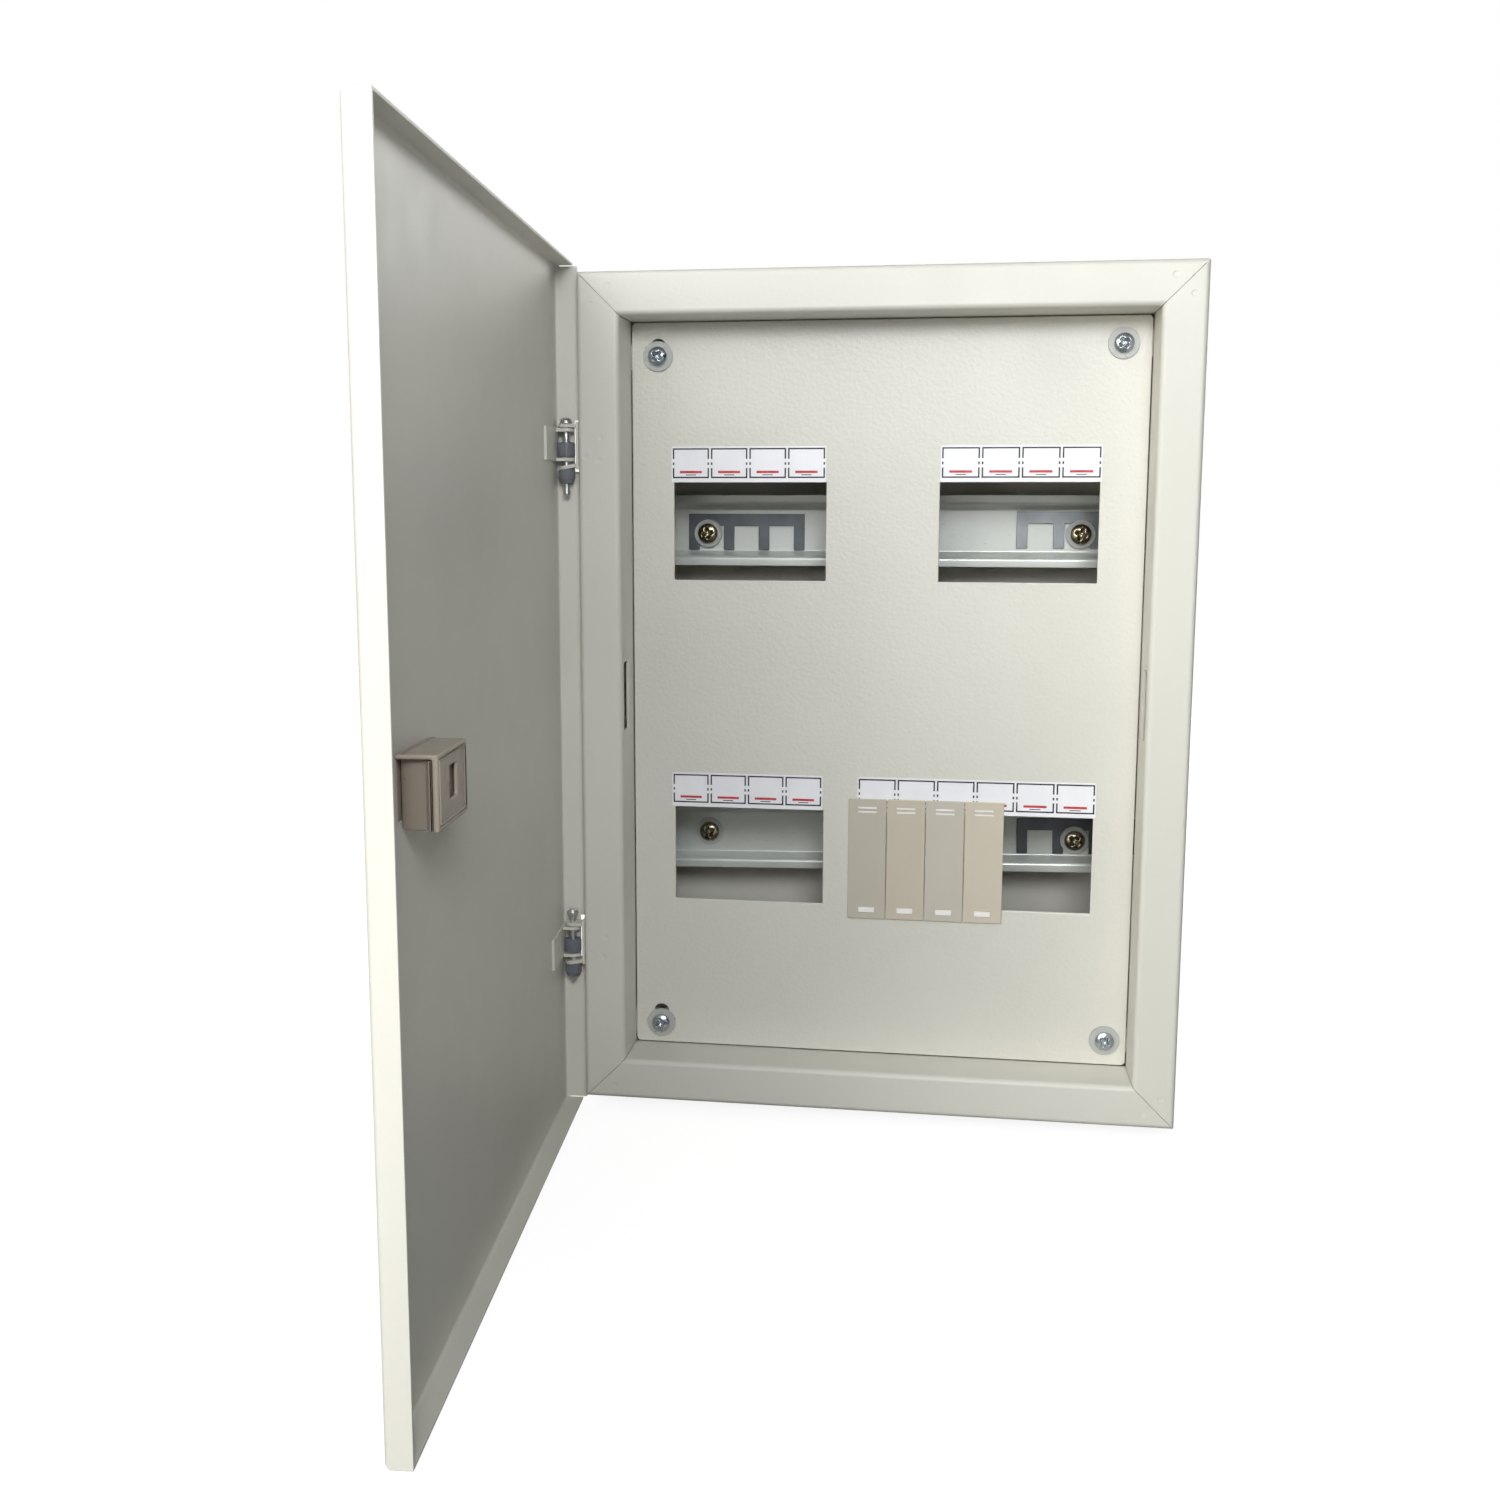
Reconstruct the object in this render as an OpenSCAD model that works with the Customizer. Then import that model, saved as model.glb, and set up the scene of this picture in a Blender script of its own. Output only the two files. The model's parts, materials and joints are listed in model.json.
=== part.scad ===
// Surface-mounted breaker panel box with a hinged tray door.
// The origin is the centre of the back face. +Z is up, the front faces -Y.

/* [Enclosure] */
// Outer width of the front frame
frame_w = 277; // [270:1:300]
// Outer height of the front frame
frame_h = 388.4; // [384:0.2:420]
// Depth from the frame's front face to the wall
box_d = 100; // [96:1:130]
// Sheet thickness of box, frame and door
sheet_t = 1.2; // [1:0.1:1.5]
// Visible width of the front frame
rim_w = 19.5; // [18:0.5:21]
// Depth of the cover below the frame's front face
cover_recess = 26.4; // [25:0.2:29]

/* [Cover] */
// Width of one breaker module
module_w = 18; // [17.5:0.1:18]
// Height of a breaker window
window_h = 45.8; // [45:0.2:46.6]
// Half the distance between the two rows
row_z = 77.7; // [76:0.1:80]
// Left edge of both left windows
window_left_x = -98.6; // [-100:0.2:-97]
// Left edge of the upper right window
window_upper_right_x = 25.8; // [24:0.2:27]
// Left edge of the lower right window
window_lower_right_x = -8.2; // [-9:0.2:-7]

/* [Rails] */
// Distance from the cover's front to the front of a rail
rail_setback = 45; // [44:0.5:46]
// Overall rail height
rail_h = 35; // [34.6:0.2:35]
// Rail depth
rail_depth = 7.5; // [7:0.5:8]
// Rail length
rail_len = 248; // [244:1:252]
// Slope of the lower rail, from the slack in its screw holes
lower_rail_tilt = 1.2; // [0:0.1:1.3]

/* [Door] */
// Opening angle of the door as drawn
door_open = 86; // [0:1:90]
// Overall depth of the door tray
door_depth = 9.4; // [9:0.1:9.6]
// How far the door stands past the frame at top and bottom
door_overlap_z = 4.9; // [4:0.1:6]
// Gap between the frame's side and the door's free edge
door_free_gap = 0.8; // [0.6:0.1:1.2]
// Gap between the frame's face and the door's inner face
door_face_gap = 2; // [1.8:0.1:2.2]

/* [Hinges] */
// Distance of each hinge from the middle of the box
hinge_z = 117.3; // [100:0.1:130]
// Distance of the hinge axis from the frame's side
hinge_offset = 6.1; // [6:0.1:6.6]
// Hinge pin radius
pin_r = 1.6; // [1.4:0.1:1.8]

/* [Latch] */
// Height of the latch above the middle of the box
latch_z = 3; // [1:0.5:4]
// Sliding travel of the latch
latch_travel = 9; // [8.6:0.1:9.2]

/* [Hidden] */

$fn = 48;
cut = 1;                // extra length of every cutting solid
bend_steps = 5;         // flats that make up one bend
bend_r = 1.8;           // bend radius on the sheet's centreline

paint_col = [0.82, 0.81, 0.76];
cover_col = [0.86, 0.85, 0.80];
zinc_col = [0.75, 0.77, 0.80];
clear_col = [0.90, 0.90, 0.86];
tin_col = [0.60, 0.65, 0.70];
brass_col = [0.78, 0.62, 0.30];
blank_col = [0.72, 0.70, 0.64];
label_col = [0.95, 0.95, 0.95];
dark_col = [0.25, 0.27, 0.30];
latch_col = [0.42, 0.39, 0.36];
grey_col = [0.55, 0.56, 0.56];

half_w = frame_w / 2;
half_h = frame_h / 2;
skirt_d = 30;
return_d = cover_recess + sheet_t - 0.4;
opening_x = half_w - rim_w;
opening_z = half_h - rim_w;
mitre_gap = 0.12;

body_x = half_w - sheet_t;
body_z = half_h - sheet_t;
body_front = 6;
corner_relief = 6.4;    // clears the body's rear bends
wall_hole_r = 3.5;
wall_hole_x = 100;
wall_hole_z = 150;
gland_flange = 13;      // height of the end plates' side flanges
knockout_d = 0.7;       // depth and width of the groove around a knockout
knockout_small = 10.2;
knockout_large = 12.7;
knockout_x = 80;        // knockouts of the end plates, each side of the middle
knockout_back_x = 45;   // knockouts of the back wall, each side of the middle
knockout_tie = 3;       // width of the two ties that hold a knockout

cover_gap = 0.5;
slot_below = 2;         // the lugs sit at the lower end of the hanging slots
keyhole_w = 7.4;

// Cover fixings: x, z and how far the hanging slot runs up from the screw
cover_fixings = [
    [-106, 158.8, 4.3],
    [106, 162, 1.5],
    [-106, -164.1, 5.5],
    [108.4, -162, 1.5]];

screw_r = 1.9;
screw_tip = 0.8;        // length of a screw's tapered tip
thread_fit = 0.03;      // radial clearance of a screw in its thread
washer_t = 1;
washer_r = 7;
corner_slit = 0.6;      // open slit at the tray's two hinge-side corners

rail_face = cover_recess + rail_setback;
rail_t = 1;
rail_base = rail_face + rail_depth;
rail_base_z = 10.9;     // half height of the base, on the sheet's centreline
rail_lip_z = 13.4;      // start of the lips
rail_hole_r = 2.6;
rail_pivot_x = -75;
busbar_t = 1.5;
busbar_pitch = 17.8;
busbar_tooth = 5.3;
busbar_spine = 6;
busbar_h = 18;
busbar_teeth = 4;

// Rail screws: x, z and the thickness of busbar that each one clamps
rail_stack = [
    [-90.5, row_z - 1.6, busbar_t],
    [93.8, row_z - 1.4, busbar_t],
    [-90, -row_z, 0],
    [95.5, -row_z + 1.6, busbar_t]];

blank_pitch = 18.35;
blank_h = 58.6;
blank_t = 0.9;
blank_left_x = -14.6;
blank_joint = 0.25;     // gap between neighbouring blanks
blank_edge = 0.25;      // depth of the rounded front edge
blank_slot = [9, 1];    // width and height of the two upper slots
blank_window = [7.8, 2.8];

label_h = 16.6;
label_t = 0.2;

// Hinge axis in face coordinates, and the door's outline about that axis
axis_x = -half_w - hinge_offset;
axis_y = 3.2;
flange_out = 5.6;       // axis to the outside of the hinge-side flange
flange_extra = 2.1;     // how much deeper the hinge-side flange is than the others
door_front = -door_face_gap - sheet_t;
door_free_x = half_w + door_free_gap + sheet_t;
door_half_h = half_h + door_overlap_z;
leaf_t = 1.2;
ear_t = 1.5;
ear_r = 3.8;
ear_root = 2.9;         // clears the bend of the hinge-side flange
lug_r = 3.5;
ear_z = 5.9;            // inner face of the door ears from the hinge centre
lug_z = 7.8;            // inner face of the frame lugs from the hinge centre
lower_lug_drop = 0.8;
lower_pin_lift = 3.3;   // the lower pin stands this much higher in its collar
lower_lug_tilt = 10;
run_gap = 0.07;         // radial running clearance on the pins

latch_x0 = 78.5;        // latch housing ends, door closed
latch_x1 = 112.6;
latch_w = 24;
latch_q = 13.4;         // housing height above the door's inner face
latch_wall = 1.6;
slot_d0 = 5.5;          // striker slots: depth range and height
slot_d1 = 15.5;
slot_h = 32;
slot_z = 1;
grip_x0 = 86;
grip_len = 8;

// ---- helpers -------------------------------------------------------------

function unit(v) = v / norm(v);
function left_of(u) = [-u[1], u[0]];
function turn_sign(u, v) = u[0] * v[1] - u[1] * v[0] > 0 ? 1 : -1;

// Points of bend i of path p, offset d to the left of the centreline
function bend_points(p, i, r, d) =
    let (u = unit(p[i] - p[i - 1]),
         v = unit(p[i + 1] - p[i]),
         s = turn_sign(u, v),
         phi = acos(u * v),
         c = p[i] - u * r * tan(phi / 2) + left_of(u) * r * s,
         a0 = atan2(-s * left_of(u)[1], -s * left_of(u)[0]))
    [for (k = [0:bend_steps])
        c + (r - s * d) * [cos(a0 + s * phi * k / bend_steps), sin(a0 + s * phi * k / bend_steps)]];

function strip_side(p, r, d) =
    let (n = len(p) - 1)
    concat([p[0] + left_of(unit(p[1] - p[0])) * d],
        [for (i = [1:n - 1]) each bend_points(p, i, r, d)],
        [p[n] + left_of(unit(p[n] - p[n - 1])) * d]);

function reversed(v) = [for (i = [len(v) - 1:-1:0]) v[i]];

// Cross-section of a bent sheet that follows centreline p
module bent(p, t = sheet_t, r = bend_r) {
    polygon(concat(strip_side(p, r, t / 2), reversed(strip_side(p, r, -t / 2))));
}

// Moves children from face coordinates, y = depth below the frame's face
module at_face() {
    translate([0, -box_d, 0]) children();
}

// Turns a door part from its closed place to the open angle
module on_door() {
    translate([axis_x, axis_y - box_d, 0])
        rotate([0, 0, -door_open])
            translate([-axis_x, -axis_y, 0])
                children();
}

// Extrudes an XZ outline along Y from depth d0 to d1
module plate_y(d0, d1) {
    translate([0, d1, 0])
        rotate([90, 0, 0])
            linear_extrude(d1 - d0)
                children();
}

module rounded_rect(w, h, r) {
    union() {
        square([w - 2 * r, h], center = true);
        square([w, h - 2 * r], center = true);
        for (sx = [-1, 1], sz = [-1, 1])
            translate([sx * (w / 2 - r), sz * (h / 2 - r)])
                circle(r);
    }
}

// Pan-head screw along +Y; y = 0 is the underside of the head
module pan_screw(head_r, head_h, shank_len) {
    difference() {
        union() {
            rotate([-90, 0, 0])
                rotate_extrude()
                    polygon([[0, 0], [head_r, 0], [head_r, -head_h * 0.45],
                        [head_r * 0.88, -head_h * 0.75], [head_r * 0.62, -head_h * 0.95], [0, -head_h]]);
            rotate([-90, 0, 0])
                translate([0, 0, -0.2])
                    cylinder(h = shank_len + 0.2 - screw_tip, r = screw_r);
            rotate([-90, 0, 0])
                translate([0, 0, shank_len - screw_tip])
                    cylinder(h = screw_tip, r1 = screw_r, r2 = screw_r * 0.6);
        }
        for (a = [0, 90])
            rotate([0, a, 0])
                translate([-head_r * 0.5, -head_h - cut, -0.45])
                    cube([head_r, head_h * 0.6 + cut, 0.9]);
    }
}

module flat_washer(r_out, r_in, t) {
    rotate([-90, 0, 0])
        difference() {
            cylinder(h = t, r = r_out);
            translate([0, 0, -cut])
                cylinder(h = t + 2 * cut, r = r_in);
        }
}

// ---- box -----------------------------------------------------------------

module knockout(r) {
    difference() {
        cylinder(h = knockout_d, r = r + knockout_d / 2);
        translate([0, 0, -cut])
            cylinder(h = knockout_d + 2 * cut, r = r - knockout_d / 2);
        for (a = [20, 200])
            rotate([0, 0, a])
                translate([0, -knockout_tie / 2, -cut])
                    cube([r + cut, knockout_tie, knockout_d + 2 * cut]);
    }
}

module body_shell() {
    x = body_x - sheet_t / 2;
    color(paint_col)
    difference() {
        translate([0, 0, -body_z])
            linear_extrude(2 * body_z)
                bent([[-x, -box_d + body_front], [-x, -sheet_t / 2],
                    [x, -sheet_t / 2], [x, -box_d + body_front]]);
        for (sx = [-1, 1], sz = [-1, 1])
            translate([sx * wall_hole_x, cut, sz * wall_hole_z])
                rotate([90, 0, 0])
                    cylinder(h = sheet_t + 2 * cut, r = wall_hole_r);
        for (sx = [-1, 1])
            translate([sx * knockout_back_x, 0.01, wall_hole_z])
                rotate([90, 0, 0])
                    knockout(knockout_large);
    }
}

module gland_plate() {
    x = body_x - sheet_t * 1.5 - 0.1;
    z = body_z - sheet_t / 2;
    difference() {
        plate_y(-box_d + body_front, -sheet_t - 0.1)
            bent([[-x, z - gland_flange], [-x, z], [x, z], [x, z - gland_flange]]);
        for (i = [-1:1])
            translate([i * knockout_x, -box_d * 0.42, body_z - knockout_d + 0.01])
                knockout(i == 0 ? knockout_large : knockout_small);
        for (s = [-1, 1])
            translate([s * body_x, 0, z])
                rotate([0, 0, 45])
                    cube([corner_relief, corner_relief, 2 * gland_flange + 4], center = true);
    }
}

module top_plate() {
    color(paint_col) gland_plate();
}

module bottom_plate() {
    color(paint_col) mirror([0, 0, 1]) gland_plate();
}

// ---- front frame ---------------------------------------------------------

module weld_dimple(a, l) {
    translate([a, -0.01, l])
        rotate([-90, 0, 0])
            cylinder(h = 0.35, r1 = 1.7, r2 = 0.8, $fn = 24);
}

// One mitred strip: x = distance in from the outer edge, y = depth, z = length
module frame_strip(len) {
    m = sheet_t / 2;
    a0 = -cut;
    a1 = rim_w + cut;
    end = len / 2 - mitre_gap;
    difference() {
        intersection() {
            linear_extrude(len + 2 * cut, center = true)
                bent([[m, skirt_d], [m, m], [rim_w - m, m], [rim_w - m, return_d]]);
            plate_y(-cut, skirt_d + cut)
                polygon([[a0, -end + a0], [a1, -end + a1], [a1, end - a1], [a0, end - a0]]);
        }
        for (s = [-1, 1])
            weld_dimple(6.5, s * (len / 2 - 14.5));
    }
}

module striker_slot() {
    translate([rim_w - 3 * sheet_t, slot_d0, slot_z - slot_h / 2])
        cube([5 * sheet_t, slot_d1 - slot_d0, slot_h]);
}

module side_strip(welds) {
    difference() {
        frame_strip(frame_h);
        striker_slot();
        if (welds)
            for (s = [-1, 1]) {
                weld_dimple(10.5, s * hinge_z + 3);
                weld_dimple(3.6, s * hinge_z - 5.5);
                weld_dimple(9.7, s * hinge_z - 7);
            }
    }
}

module frame_left() {
    color(paint_col) at_face()
        translate([-half_w, 0, 0])
            side_strip(true);
}

module frame_right() {
    color(paint_col) at_face()
        translate([half_w, 0, 0])
            mirror([1, 0, 0])
                side_strip(false);
}

module frame_top() {
    color(paint_col) at_face()
        translate([0, 0, half_h])
            rotate([0, 90, 0])
                frame_strip(frame_w);
}

module frame_bottom() {
    color(paint_col) at_face()
        mirror([0, 0, 1])
            translate([0, 0, half_h])
                rotate([0, 90, 0])
                    frame_strip(frame_w);
}

// L-shaped plates spot-welded behind the mitres
module corner_gussets() {
    leg = 30;
    in = 2.2 + sheet_t;
    out = rim_w - sheet_t - 2;
    color(paint_col) at_face()
        for (mx = [0, 1], mz = [0, 1])
            mirror([mx, 0, 0]) mirror([0, 0, mz])
                plate_y(sheet_t, 2 * sheet_t)
                    polygon([[-half_w + in, half_h - in], [-half_w + leg, half_h - in],
                        [-half_w + leg, half_h - out], [-half_w + out, half_h - out],
                        [-half_w + out, half_h - leg], [-half_w + in, half_h - leg]]);
}

// ---- recessed cover ------------------------------------------------------

module cover_lugs() {
    lug_t = 1.5;
    lug_w = 12;
    lug_reach = 9;      // how far the lug runs past its screw
    lug_front = 12;     // depth at which the lug starts on the frame's return
    xo = opening_x + sheet_t + lug_t / 2 + 0.05;
    d = cover_recess + sheet_t + lug_t / 2 + 0.1;
    color(paint_col) at_face()
        for (f = cover_fixings)
            mirror([f[0] > 0 ? 1 : 0, 0, 0])
                translate([0, 0, f[1]])
                    difference() {
                        linear_extrude(lug_w, center = true)
                            bent([[-xo, lug_front], [-xo, d], [-abs(f[0]) + lug_reach, d]], lug_t, 0.95);
                        translate([-abs(f[0]), d - lug_t, 0])
                            rotate([-90, 0, 0])
                                cylinder(h = 2 * lug_t, r = screw_r + thread_fit);
                    }
}

module window_cut(x, z, count) {
    translate([x, cover_recess - cut, z - window_h / 2])
        cube([count * module_w, sheet_t + 2 * cut, window_h]);
}

module hanging_slot(x, z, up) {
    translate([x, 0, z])
        plate_y(cover_recess - cut, cover_recess + sheet_t + cut) {
            translate([0, -slot_below])
                circle(keyhole_w / 2);
            translate([-keyhole_w / 2, -slot_below])
                square([keyhole_w, up + slot_below]);
            translate([0, up])
                circle(keyhole_w / 2);
        }
}

module cover_plate() {
    color(cover_col) at_face()
        difference() {
            plate_y(cover_recess, cover_recess + sheet_t)
                rounded_rect(2 * (opening_x - cover_gap), 2 * (opening_z - cover_gap), 2);
            window_cut(window_left_x, row_z, 4);
            window_cut(window_upper_right_x, row_z, 4);
            window_cut(window_left_x, -row_z, 4);
            window_cut(window_lower_right_x, -row_z, 6);
            for (f = cover_fixings)
                hanging_slot(f[0], f[1], f[2]);
        }
}

module at_cover_screws(d) {
    for (f = cover_fixings)
        translate([f[0], d, f[1]])
            rotate([0, f[0] + f[1], 0])
                children();
}

module cover_screws() {
    color(zinc_col) at_face()
        at_cover_screws(cover_recess - washer_t)
            pan_screw(4.4, 2.7, 10);
}

module cover_washers() {
    color(clear_col) at_face()
        at_cover_screws(cover_recess - washer_t)
            flat_washer(washer_r, screw_r + 0.3, washer_t);
}

// ---- rails and busbars ---------------------------------------------------

// Top-hat rail at height z, with a hole at each of its screws
module din_rail(z, tilt, screws) {
    f = rail_face + rail_t / 2;
    b = rail_base - rail_t / 2;
    zo = rail_h / 2;
    color(paint_col) at_face()
        difference() {
            translate([rail_pivot_x, 0, z])
                rotate([0, -tilt, 0])
                    translate([-rail_pivot_x, 0, 0])
                        rotate([90, 0, 90])
                            linear_extrude(rail_len, center = true)
                                bent([[f, -zo], [f, -rail_lip_z], [b, -rail_base_z],
                                    [b, rail_base_z], [f, rail_lip_z], [f, zo]], rail_t, 1.6);
            for (i = screws)
                translate([rail_stack[i][0], rail_base - 2 * rail_t, rail_stack[i][1]])
                    rotate([-90, 0, 0])
                        cylinder(h = 3 * rail_t, r = rail_hole_r);
        }
}

module din_rail_top() {
    din_rail(row_z, 0, [0, 1]);
}

module din_rail_bottom() {
    din_rail(-row_z, lower_rail_tilt, [2, 3]);
}

// Pressed steps that carry the rails off the back wall
module rail_brackets() {
    t = 1.5;
    wide = 24;
    step_x = 9;         // half width of the step under the rail
    foot_x = 18;        // half width over the welded feet
    foot = -sheet_t - t / 2;
    top = -box_d + rail_base + t / 2;
    color(paint_col)
        for (s = rail_stack)
            translate([s[0], 0, s[1]])
                difference() {
                    linear_extrude(wide, center = true)
                        bent([[-foot_x, foot], [-step_x, foot], [-step_x, top],
                            [step_x, top], [step_x, foot], [foot_x, foot]], t, 2);
                    translate([0, top - t, 0])
                        rotate([-90, 0, 0])
                            cylinder(h = 2 * t, r = screw_r + thread_fit);
                }
}

module at_rail_screws() {
    for (s = rail_stack)
        translate([s[0], rail_base - rail_t - s[2] - washer_t, s[1]])
            rotate([0, s[0] + s[1], 0])
                children();
}

module rail_screws() {
    color(brass_col) at_face()
        at_rail_screws()
            pan_screw(5, 2.9, 9);
}

module rail_washers() {
    color(clear_col) at_face()
        at_rail_screws()
            flat_washer(washer_r, screw_r + 0.3, washer_t);
}

// Comb with its left end at x and its middle at height z
module comb_busbar(x, z, tilt = 0) {
    w = (busbar_teeth - 1) * busbar_pitch + busbar_tooth;
    d1 = rail_base - rail_t;
    color(tin_col) at_face()
        translate([x + w / 2, 0, z])
            rotate([0, -tilt, 0])
                plate_y(d1 - busbar_t, d1) {
                    translate([-w / 2, busbar_h / 2 - busbar_spine])
                        square([w, busbar_spine]);
                    for (i = [0:busbar_teeth - 1])
                        translate([i * busbar_pitch - w / 2, -busbar_h / 2])
                            square([busbar_tooth, busbar_h - busbar_spine + 0.5]);
                }
}

module busbar_top_left() {
    comb_busbar(-100.5, row_z - 0.8);
}

module busbar_top_right() {
    comb_busbar(62.9, row_z + 0.7);
}

module busbar_bottom_right() {
    comb_busbar(67, -row_z + 3.3, lower_rail_tilt);
}

// ---- blanking plates and labels ------------------------------------------

// Snap-in blank for one module; i counts from the left
module blank_plate(i) {
    w = blank_pitch - blank_joint;
    x = blank_left_x + (i + 0.5) * blank_pitch;
    z = -row_z;
    leg_w = 8;
    leg_x = 1.9;
    leg_t = 1.3;
    leg_z = window_h / 2 - 0.3;
    behind = cover_recess + sheet_t;
    back = cover_recess - label_t - 0.02;
    front = back - blank_t;
    color(blank_col) at_face()
        translate([x, 0, z]) {
            difference() {
                union() {
                    plate_y(front + blank_edge, back)
                        rounded_rect(w, blank_h, 0.5);
                    plate_y(front, front + blank_edge + 0.05)
                        rounded_rect(w - 0.4, blank_h - 0.4, 0.4);
                }
                for (dz = [4.3, 6.3])
                    translate([-blank_slot[0] / 2, front - cut, blank_h / 2 - dz - blank_slot[1] / 2])
                        cube([blank_slot[0], blank_t + 2 * cut, blank_slot[1]]);
                translate([-blank_window[0] / 2, front - cut, -blank_h / 2 + 3])
                    cube([blank_window[0], blank_t + 2 * cut, blank_window[1]]);
            }
            for (s = [0, 1])
                mirror([0, 0, s])
                    translate([leg_x - leg_w / 2, 0, 0])
                        rotate([90, 0, 90])
                            linear_extrude(leg_w)
                                polygon([[cover_recess - 0.5, leg_z - leg_t], [cover_recess - 0.5, leg_z],
                                    [behind + 0.2, leg_z], [behind + 0.2, leg_z + 1.1],
                                    [behind + 2.6, leg_z - 0.2], [behind + 2.6, leg_z - leg_t]]);
        }
}

module blank_plate_1() {
    blank_plate(0);
}

module blank_plate_2() {
    blank_plate(1);
}

module blank_plate_3() {
    blank_plate(2);
}

module blank_plate_4() {
    blank_plate(3);
}

// Self-adhesive circuit label of width w that stands on a window's top edge
module label_strip(x, z, w) {
    color(label_col) at_face()
        translate([x + w / 2, 0, z + window_h / 2 + label_h / 2 + 0.1])
            plate_y(cover_recess - label_t, cover_recess)
                rounded_rect(w, label_h, 0.8);
}

module label_strip_1() {
    label_strip(window_left_x - 1.2, row_z, 73);
}

module label_strip_2() {
    label_strip(window_upper_right_x + 0.1, row_z, 72.5);
}

module label_strip_3() {
    label_strip(window_left_x - 1.5, -row_z, 73);
}

module label_strip_4() {
    label_strip(window_lower_right_x - 2.2, -row_z, 111.2);
}

// ---- neutral and earth bars ----------------------------------------------

bar_ways = 9;
bar_pitch = 11;
bar_w = 9;
bar_h = 8;
bar_len = bar_ways * bar_pitch + 24;
bar_fix = bar_len / 2 - 6;
neutral_x = -46;
neutral_z = 6;
neutral_y = -42;        // front of the neutral bar
earth_x = 0;
earth_z = -150;
earth_y = -26;          // front of the earth bar
terminal_r = 2.6;

// Terminal bar with its front at y = 0: wire bores run up through it
module terminal_bar() {
    difference() {
        translate([-bar_len / 2, 0, -bar_h / 2])
            cube([bar_len, bar_w, bar_h]);
        for (i = [0:bar_ways - 1])
            translate([(i - (bar_ways - 1) / 2) * bar_pitch, 0, 0]) {
                translate([0, bar_w * 0.62, -bar_h / 2 - cut])
                    cylinder(h = bar_h + 2 * cut, r = 2.4, $fn = 32);
                translate([0, -cut, 0])
                    rotate([-90, 0, 0])
                        cylinder(h = bar_w * 0.5 + cut, r = terminal_r + 0.05, $fn = 32);
            }
        for (s = [-1, 1])
            translate([s * bar_fix, -cut, 0])
                rotate([-90, 0, 0])
                    cylinder(h = bar_w + 2 * cut, r = 2.1, $fn = 32);
    }
}

module terminal_screws() {
    for (i = [0:bar_ways - 1])
        translate([(i - (bar_ways - 1) / 2) * bar_pitch, -1.6, 0])
            rotate([0, i * 37, 0])
                difference() {
                    rotate([-90, 0, 0])
                        cylinder(h = 5.2, r = terminal_r, $fn = 32);
                    translate([-terminal_r - cut, -cut, -0.4])
                        cube([2 * terminal_r + 2 * cut, cut + 1.1, 0.8]);
                }
}

// Stepped post with a screw head, from the back wall to the bar
module bar_post(foot_r, length) {
    rotate([-90, 0, 0])
        cylinder(h = length - 3, r = foot_r * 0.8, $fn = 32);
    translate([0, length - 3.2, 0])
        rotate([-90, 0, 0])
            cylinder(h = 3.2, r = foot_r, $fn = 32);
}

module neutral_bar() {
    color(brass_col) translate([neutral_x, neutral_y, neutral_z]) terminal_bar();
}

module neutral_stands() {
    length = -sheet_t - (neutral_y + bar_w);
    color(grey_col)
        for (s = [-1, 1])
            translate([neutral_x + s * bar_fix, neutral_y + bar_w, neutral_z])
                bar_post(6.5, length);
}

module neutral_screws() {
    color(zinc_col) translate([neutral_x, neutral_y, neutral_z]) {
        terminal_screws();
        for (s = [-1, 1])
            translate([s * bar_fix, 0, 0])
                pan_screw(3.6, 2.4, bar_w - 0.2);
    }
}

module earth_bar() {
    color(brass_col) translate([earth_x, earth_y, earth_z]) terminal_bar();
}

module earth_posts() {
    length = -sheet_t - (earth_y + bar_w);
    color(zinc_col)
        for (s = [-1, 1])
            translate([earth_x + s * bar_fix, earth_y + bar_w, earth_z])
                bar_post(5, length);
}

module earth_screws() {
    color(zinc_col) translate([earth_x, earth_y, earth_z]) {
        terminal_screws();
        for (s = [-1, 1])
            translate([s * bar_fix, 0, 0])
                pan_screw(3.6, 2.4, bar_w - 0.2);
    }
}

// ---- hinges --------------------------------------------------------------

// Flat tongue in the XY plane: rounded about the pin, with its root in children
module tongue(z0, z1, r, hole_r) {
    translate([0, 0, z0])
        linear_extrude(z1 - z0)
            difference() {
                union() {
                    circle(r);
                    children();
                }
                circle(hole_r);
            }
}

// Frame half: a plate on the frame's side with two lugs over the pin
module frame_leaf(z) {
    hole_r = pin_r + 0.03;
    top = lug_z + ear_t;
    bottom = -lug_z - lower_lug_drop - ear_t;
    color(paint_col)
        translate([axis_x, axis_y - box_d, z]) {
            difference() {
                translate([leaf_x, -1.9, bottom - 1])
                    cube([leaf_t, 15, top - bottom + 2]);
                for (dz = [-4, 4])
                    translate([leaf_x - 0.01, 9.5, dz])
                        rotate([0, 90, 0])
                            cylinder(h = 0.3, r1 = 1.7, r2 = 0.9, $fn = 24);
            }
            tongue(lug_z, top, lug_r, hole_r)
                lug_root();
            at_lower_lug()
                tongue(0, ear_t, lug_r, hole_r + 0.22)
                    lug_root();
        }
}

leaf_x = hinge_offset - leaf_t - 0.02;

module lug_root() {
    translate([0, -lug_r])
        square([leaf_x + 0.1, 2 * lug_r]);
}

// The lower lug's own plane, from its underside: it hangs down towards the pin
module at_lower_lug() {
    translate([leaf_x, 0, -lug_z - lower_lug_drop - ear_t])
        rotate([0, -lower_lug_tilt, 0])
            translate([-leaf_x, 0, 0])
                children();
}

module hinge_leaf_upper() {
    frame_leaf(hinge_z);
}

module hinge_leaf_lower() {
    frame_leaf(-hinge_z);
}

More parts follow.
